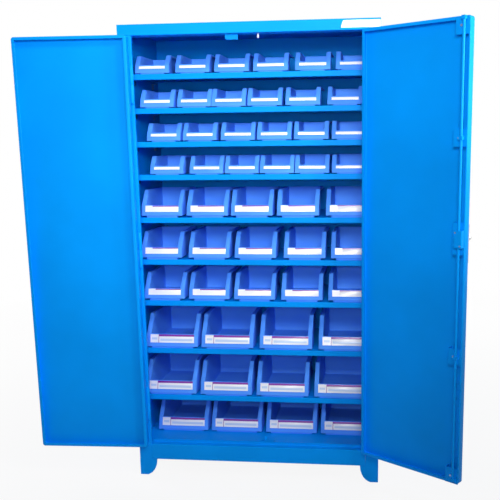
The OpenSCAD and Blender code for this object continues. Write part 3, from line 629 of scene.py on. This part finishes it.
def door_pan_shape(x0, x1, z0, z1, free_lip, lip=12.0, depth=28.0, sheet=1.2, corner=10.0):
    """A folded door pan: one profile, from the face's middle round the edges to the lips, carried round a
    rounded rectangle. Each profile point is (inset from the edge, y); bends are arcs of 2.5 mm outside. The
    lip along the free edge has its own width."""
    made = Shape()
    bend, y0, y1 = 2.5, FRONT, FRONT + depth

    def ring(inset, y):
        """Outline of the pan inset from its edge, its corners' radius less by the inset."""
        left = x0 + inset - (lip - free_lip if inset > lip - 0.5 and inset < 50 else 0.0)
        outline = rounded_ring(left, x1 - inset, z0 + inset, z1 - inset, max(corner - inset, 0.8), 8)
        return np.column_stack([outline[:, 0], np.full(len(outline), y), outline[:, 1]])

    outer = [ring(60.0, y0), ring(bend + 4.0, y0), ring(bend, y0)]
    outer += [ring(bend * (1 - math.sin(math.radians(a))), y0 + bend * (1 - math.cos(math.radians(a))))
              for a in (30, 60, 90)]
    outer += [ring(0.0, y1 - bend)]
    outer += [ring(bend * (1 - math.cos(math.radians(a))), y1 - bend * (1 - math.sin(math.radians(a))))
              for a in (30, 60, 90)]
    outer += [ring(lip - 0.3, y1), ring(lip, y1 - 0.3), ring(lip, y1 - sheet)]
    inner = [ring(bend, y1 - sheet), ring(sheet, y1 - bend), ring(sheet, y0 + bend),
             ring(bend, y0 + sheet), ring(60.0, y0 + sheet)]
    rings = np.array(outer + inner)
    made.grid(rings, wrap_columns=True)
    made.cap(rings[0])
    made.cap(rings[-1])
    return made


def barrel_shape(x, y, z0, z1, bore, leaf, side, radius=8.0, leaf_t=2.5, stand=0.3):
    """A hinge barrel turned from one profile, with rounded ends and a pin bore, and its leaf with rounded edges."""
    made = Shape()
    r, e = radius, 0.9
    profile = [(bore, z0), (r - e, z0), (r - 0.3, z0 + 0.3), (r, z0 + e), (r, z1 - e), (r - 0.3, z1 - 0.3),
               (r - e, z1), (bore, z1)]
    turn = np.radians(np.arange(0, 360, 10))
    rings = np.array([np.column_stack([x + p * np.cos(turn), y + p * np.sin(turn), np.full(36, z)])
                      for p, z in profile])
    made.grid(rings, wrap_rows=True, wrap_columns=True)
    lo, hi = sorted((x + side * 5.0, x + side * leaf))
    back = y + radius + stand
    outline = rounded_ring(lo, hi, z0 + 0.2, z1 - 0.2, 2.2, 4)
    layers = [np.column_stack([outline[:, 0], np.full(len(outline), yy), outline[:, 1]])
              for yy in (back, back - leaf_t + 0.5)]
    c = outline.mean(0)
    small = c + (outline - c) * [(hi - lo - 1) / (hi - lo), (z1 - z0 - 1) / (z1 - z0)]
    layers.append(np.column_stack([small[:, 0], np.full(len(small), back - leaf_t), small[:, 1]]))
    made.tube(np.array(layers))
    return made


def lathe(profile, centre, steps=32):
    """A solid turned about an axis along Y: profile points are (radius, y), first and last on the axis."""
    turn = np.radians(np.arange(0, 360, 360 / steps))
    rings = [np.column_stack([centre[0] + r * np.cos(turn), np.full(steps, y), centre[1] + r * np.sin(turn)])
             for r, y in profile]
    made = Shape()
    made.grid(np.array(rings), wrap_columns=True)
    made.cap(rings[0])
    made.cap(rings[-1])
    return made


def lever_shape():
    """The lever: rounded sections carried along a gently drooping line, and its turned hub and neck."""
    made = Shape()
    x, z = LOCK
    run = np.linspace(0, 1, 15)
    centre_x = x + 4 + 96 * run
    centre_z = z - 4 * run ** 1.5
    high = 9.5 - 3.0 * run
    thick = 4.5 - 0.9 * run
    high[-3:] *= [0.93, 0.75, 0.35]
    thick[-3:] *= [0.95, 0.8, 0.45]
    turn = np.radians(np.arange(0, 360, 15))
    ring_y = np.sign(np.cos(turn)) * np.abs(np.cos(turn)) ** 0.75
    ring_z = np.sign(np.sin(turn)) * np.abs(np.sin(turn)) ** 0.75
    rings = np.empty((len(run), len(turn), 3))
    rings[..., 0] = centre_x[:, None]
    rings[..., 1] = FRONT - 28.5 + thick[:, None] * ring_y[None, :]
    rings[..., 2] = centre_z[:, None] + high[:, None] * ring_z[None, :]
    made.tube(rings)
    hub = [(0.01, -33), (8.5, -33), (10.6, -31.8), (11, -30), (11, -26), (10, -24.2), (8, -23), (8, -12.5),
           (5, -12.5), (5, 32), (0.01, 32)]
    made.add(lathe([(r, FRONT + y) for r, y in hub], LOCK))
    return made


def rose_shape():
    """The escutcheon: a rounded plate whose face is gently crowned, a boss for the spindle and the key's rim."""
    made = Shape()
    x, z = LOCK
    half, length = 17, 150
    low = z - length * 0.62
    layers = []
    for inset, y in ((0.4, 0.0), (0.0, -0.5), (0.0, -4.0), (0.7, -5.2), (2.0, -5.8), (4.5, -6.0)):
        ring = rounded_ring(x - half + inset, x + half - inset, low + inset, low + length - inset, 12 - inset, 7)
        layers.append(np.column_stack([ring[:, 0], np.full(len(ring), FRONT + y), ring[:, 1]]))
    made.tube(np.array(layers))
    turn = np.radians(np.arange(0, 360, 10))

    def collar(cx, cz, profile):
        """A ring turned about an axis along Y: profile points are (radius, y from the door's face)."""
        rings = [np.column_stack([cx + r * np.cos(turn), np.full(36, FRONT + y), cz + r * np.sin(turn)])
                 for r, y in profile]
        made.grid(np.array(rings), wrap_rows=True, wrap_columns=True)

    collar(x, z, [(5.3, -5.0), (5.3, -11.4), (6.0, -12.0), (9.0, -12.0), (10.3, -11.2), (11.0, -9.0), (12.0, -5.8)])
    collar(x, z - 58, [(8.2, -5.0), (8.2, -6.9), (8.8, -7.3), (10.2, -7.0), (11.0, -5.8)])
    return made


def plate_shape(x0, x1, z0, z1, y, thick, radius, slant):
    """A thin bare plate with rounded corners and a soft front edge; its left end leans in by its slant."""
    layers = []
    for inset, out in ((0.0, 0.0), (0.0, thick * 0.6), (0.25, thick)):
        ring = rounded_ring(x0 + inset, x1 - inset, z0 + inset, z1 - inset, radius, 5)
        lean = slant * (ring[:, 1] - z0) / (z1 - z0) * (x1 - ring[:, 0]) / (x1 - x0)
        layers.append(np.column_stack([ring[:, 0] + lean, np.full(len(ring), y - out), ring[:, 1]]))
    return Shape().tube(np.array(layers))


# ---------------------------------------------------------------- operators

MATERIALS = {}


def finish_of(name):
    """A finish made earlier, or a plain error when the finishes weren't made first."""
    if name not in MATERIALS:
        raise RuntimeError("Make the finishes first")
    return MATERIALS[name]


class CABINET_OT_finishes(bpy.types.Operator):
    """Makes the finishes and gives each carried-over part its own"""

    bl_idname = "cabinet.finishes"
    bl_label = "Finishes"

    def execute(self, context):
        colours = {name: tuple(getattr(context.scene.cabinet_colours, name))
                   for name in ("steel", "bins", "zinc", "chrome", "card", "tint", "edge")}
        MATERIALS.update(
            steel=powder_coat("azure_powder_coat", colours["steel"]),
            bin=moulded_plastic("bin_plastic", colours["bins"]),
            zinc=plated_steel("zinc_plate", colours["zinc"], 0.34, 0.25),
            chrome=plated_steel("polished_chrome", colours["chrome"], 0.14, 0.1),
            nylon=nylon("white_nylon", linear(240, 240, 236)),
            card=printed_card("plain_card", colours["card"]),
            tint=printed_card("tinted_card", colours["tint"]),
            edge=printed_card("card_edge", colours["edge"]),
            bare=printed_card("bare_plate", linear(172, 188, 226)),
        )
        slot_of = {row["node"]: row["material_slot"] for row in frame["record"]["subparts"]}
        for name, obj in NODES.items():
            obj.data.materials.clear()
            obj.data.materials.append(MATERIALS[slot_of[name]])
        return {"FINISHED"}


class CABINET_OT_doors(bpy.types.Operator):
    """Makes the two folded door pans"""

    bl_idname = "cabinet.doors"
    bl_label = "Doors"

    def execute(self, context):
        steel = [finish_of("steel")]
        left, right = door_pan_shape(free_lip=12.0, **DOOR), door_pan_shape(free_lip=5.0, **DOOR)
        left.build("left_door_folded_pan", steel, "left_door", "steel", ["left_door_pan"], left_place())
        right.build("right_door_folded_pan", steel, "right_door", "steel", ["right_door_pan"],
                    right_place(RIGHT_OPEN))
        return {"FINISHED"}


class CABINET_OT_hinges(bpy.types.Operator):
    """Makes the hinge barrels and their leaves"""

    bl_idname = "cabinet.hinges"
    bl_label = "Hinges"

    def execute(self, context):
        steel = [finish_of("steel")]
        posts, door = Shape(), Shape()
        for z in HINGE_Z:
            for s in (-1, 1):
                posts.add(barrel_shape(s * AXIS[0], AXIS[1], z - BARREL, z, 4.5, LEAF, s))
            door.add(barrel_shape(AXIS[0], AXIS[1], z + BARREL_GAP, z + BARREL_GAP + BARREL, 4.55, LEAF, -1))
        posts.build("post_hinge_barrels", steel, "cabinet", "steel", ["post_knuckles"])
        door.build("left_hinge_barrels", steel, "left_door", "steel", ["left_door_knuckles"], left_place())
        door.build("right_hinge_barrels", steel, "right_door", "steel", ["right_door_knuckles"],
                   right_place(RIGHT_OPEN))
        return {"FINISHED"}


class CABINET_OT_handle(bpy.types.Operator):
    """Makes the lever and its escutcheon"""

    bl_idname = "cabinet.handle"
    bl_label = "Handle"

    def execute(self, context):
        place = right_place(RIGHT_OPEN)
        lever_shape().build("lever", [finish_of("chrome")], "handle", "chrome", ["lever_handle"], place)
        rose_shape().build("escutcheon", [finish_of("chrome")], "right_door", "chrome", ["handle_rose"], place)
        return {"FINISHED"}


class CABINET_OT_bins(bpy.types.Operator):
    """Makes every bin and its card"""

    bl_idname = "cabinet.bins"
    bl_label = "Bins and cards"

    def execute(self, context):
        shape = context.scene.cabinet_bins
        cards = [finish_of(n) for n in ("card", "tint", "edge")]
        made = {}
        for node in sorted(n for n in NODES if "_bin" in n and n.split("_")[0] in LIPS):
            kind = node.split("_")[0]
            lip, card_z, card_h, foot = LIPS[kind]
            low, high = (np.array(v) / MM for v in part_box(node))
            tub, label = Shape(), Shape()
            for left, width in bin_places(node):
                if kind not in made:
                    made[kind] = (bin_shape(width, high[1] - low[1], high[2] - low[2], lip, foot,
                                            (card_z - 2.0, card_z + card_h), shape),
                                  card_shape(width, card_z, card_h, foot, shape, kind))
                spot = (left + width / 2, low[1], low[2])
                tub.add(made[kind][0], spot)
                label.add(made[kind][1], spot)
            body = BODY_OF[node]
            tub.build(node.replace("_bin", "_tub"), [finish_of("bin")], body, "bin", [node])
            label.build(node.replace("_bin", "_card"), cards, body, "card")
        return {"FINISHED"}


class CABINET_OT_plate(bpy.types.Operator):
    """Makes the bare plate on the header"""

    bl_idname = "cabinet.plate"
    bl_label = "Header plate"

    def execute(self, context):
        plate = plate_shape(352.0, 499.0, 1787.0, 1814.0, FRONT, thick=0.8, radius=3.0, slant=9.0)
        plate.build("header_plate", [finish_of("bare")], "cabinet", "card")
        return {"FINISHED"}


class CABINET_OT_stage(bpy.types.Operator):
    """Sets up the floor, the lights, the sky and the camera"""

    bl_idname = "cabinet.stage"
    bl_label = "Stage"

    def execute(self, context):
        scene = context.scene
        floor_and_sky(scene)
        lamps(scene)
        camera(scene)
        scene.view_settings.view_transform = "Standard"
        return {"FINISHED"}


def floor_and_sky(scene):
    """A pale level floor whose height is z = 0, and a sky that is white where it is seen."""
    half = 30.0
    corners = np.array([[-half, -half, 0], [half, -half, 0], [half, half, 0], [-half, half, 0]])
    mesh = bpy.data.meshes.new("floor")
    mesh.from_pydata(corners, [], [(0, 1, 2, 3)])
    floor = bpy.data.objects.new("floor", mesh)
    scene.collection.objects.link(floor)
    f = Finish("pale_floor", Roughness=0.9, Specular_IOR_Level=0.1)
    f.set("Base Color", f.mix(f.noise(1.5) * 0.5, linear(206, 208, 212), linear(214, 216, 220)))
    reach = f.node("ShaderNodeVectorMath", {"operation": "LENGTH"}, {0: f.place})["Value"]
    f.feed(f.output.inputs["Surface"], f.white_where_seen(f.surface, (0.87 + reach * 0.03).clamped(0.9, 1.0)))
    mesh.materials.append(f.material)

    scene.world = bpy.data.worlds.new("sky")
    sky = Graph(scene.world)
    soft = sky.node("ShaderNodeBackground", {}, {"Color": (0.86, 0.93, 1.0, 1), "Strength": SKY})[0]
    sky.node("ShaderNodeOutputWorld", {}, {"Surface": sky.white_where_seen(soft, 1.0)})


def lamps(scene):
    """Soft boxes: a wide one high at the front right, one over the camera, small ones for the bins' insides, the
    header and the right door's edge, and two wide ones for the back and the left side."""
    for name, spot, aim, width, height, power, spread in (
        ("key_softbox", (2.9, -2.5, 4.0), (0.0, -0.3, 2.2), 1.1, 0.8, 22.0, 86.0),
        ("front_softbox", (0.5, -2.7, 2.05), (-0.15, -0.2, 1.75), 0.9, 0.6, 15.0, 90.0),
        ("low_softbox", (0.3, -3.3, 1.4), (-0.15, 0.0, 0.95), 0.6, 0.4, 3.2, 70.0),
        ("top_softbox", (-0.5, -1.3, 2.6), (-0.2, -0.3, 1.6), 1.6, 0.5, 2.0, 180.0),
        ("edge_softbox", (2.2, -0.95, 1.75), (0.81, -0.55, 1.6), 0.4, 0.4, 4.2, 60.0),
        ("back_softbox", (1.2, 3.4, 1.8), (0.0, 0.2, 0.9), 2.4, 1.6, 75.0, 180.0),
        ("side_softbox", (-3.2, 1.6, 1.8), (-0.4, 0.1, 0.9), 1.8, 1.4, 60.0, 180.0),
    ):
        lamp = bpy.data.lights.new(name, "AREA")
        lamp.shape, lamp.size, lamp.size_y, lamp.energy = "RECTANGLE", width, height, power
        lamp.spread = math.radians(spread)
        obj = bpy.data.objects.new(name, lamp)
        obj.location = spot
        obj.rotation_euler = (Vector(aim) - Vector(spot)).to_track_quat("-Z", "Y").to_euler()
        scene.collection.objects.link(obj)


def camera(scene):
    """The camera by its place, its turn, its dip and its roll; the lens is for a 36 mm sensor."""
    turn, dip, roll = (math.radians(a) for a in (-6.16, 10.75, 0.64))
    ahead = Vector((math.sin(turn) * math.cos(dip), math.cos(turn) * math.cos(dip), -math.sin(dip)))
    right = Vector((math.cos(turn), -math.sin(turn), 0))
    down = ahead.cross(right)
    x = right * math.cos(roll) + down * math.sin(roll)
    y = right * math.sin(roll) - down * math.cos(roll)
    lens = bpy.data.cameras.new("camera")
    lens.lens, lens.sensor_width = 55.02, 36.0
    lens.shift_x, lens.shift_y = -0.116, 0.072
    obj = bpy.data.objects.new("camera", lens)
    obj.matrix_world = Matrix.Translation((0.5379, -3.1903, 1.3789)) @ Matrix((x, y, -ahead)).transposed().to_4x4()
    scene.collection.objects.link(obj)
    scene.camera = obj


STEPS = (CABINET_OT_finishes, CABINET_OT_doors, CABINET_OT_hinges, CABINET_OT_handle, CABINET_OT_bins,
         CABINET_OT_plate, CABINET_OT_stage)


class CABINET_PT_panel(bpy.types.Panel):
    """Lists the cabinet's settings and steps in the sidebar."""

    bl_label = "Parts bin cabinet"
    bl_idname = "CABINET_PT_panel"
    bl_space_type = "VIEW_3D"
    bl_region_type = "UI"
    bl_category = "Cabinet"

    def draw(self, context):
        for settings in (context.scene.cabinet_colours, context.scene.cabinet_bins):
            for name in settings.__annotations__:
                self.layout.prop(settings, name)
        for step in STEPS:
            self.layout.operator(step.bl_idname)


CLASSES = (CabinetColours, BinShape) + STEPS + (CABINET_PT_panel,)


def register():
    """Registers the classes and adds the settings to the scene."""
    for cls in CLASSES:
        bpy.utils.register_class(cls)
    bpy.types.Scene.cabinet_colours = bpy.props.PointerProperty(type=CabinetColours)
    bpy.types.Scene.cabinet_bins = bpy.props.PointerProperty(type=BinShape)


def unregister():
    """Removes the settings and the classes."""
    del bpy.types.Scene.cabinet_bins
    del bpy.types.Scene.cabinet_colours
    for cls in reversed(CLASSES):
        bpy.utils.unregister_class(cls)


def main():
    """Makes every piece in turn."""
    register()
    for step in STEPS:
        family, name = step.bl_idname.split(".")
        getattr(getattr(bpy.ops, family), name)()


if __name__ == "__main__":
    main()
